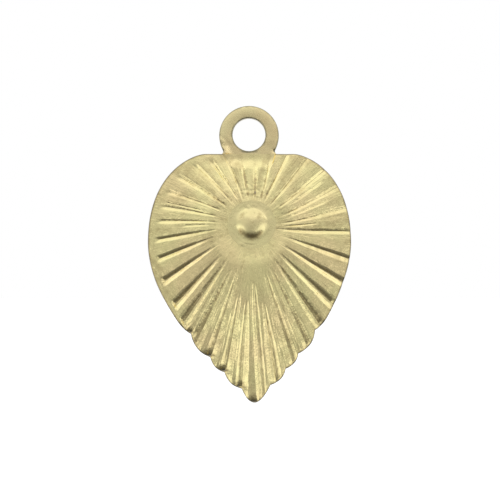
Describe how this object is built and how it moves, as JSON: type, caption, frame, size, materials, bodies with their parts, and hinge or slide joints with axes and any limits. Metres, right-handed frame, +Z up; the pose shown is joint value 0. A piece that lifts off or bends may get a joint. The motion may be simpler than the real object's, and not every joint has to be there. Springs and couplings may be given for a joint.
{
  "type": "leaf charm",
  "caption": "Small struck brass leaf charm: a fluted heart-shaped leaf with a scalloped lower edge, a domed boss in the middle and a flat hanging ring on top.",
  "frame": {"origin": "centre of the hanging hole, on the charm's back plane", "axes": "+Z up towards the top of the ring, face towards -Y, +X to the viewer's right; +Y is the hole's axis, out of the back"},
  "size_m": [0.0122, 0.0014, 0.0178],
  "materials": {
    "leaf_brass": "raw satin brass, fine grain from the die",
    "boss_brass": "raw satin brass, slightly smoother on the dome",
    "ring_brass": "raw satin brass, smooth and a little warmer"
  },
  "bodies": {
    "root": {"leaf": "leaf_brass", "centre_boss": "boss_brass", "hanging_ring": "ring_brass"}
  },
  "joints": []
}
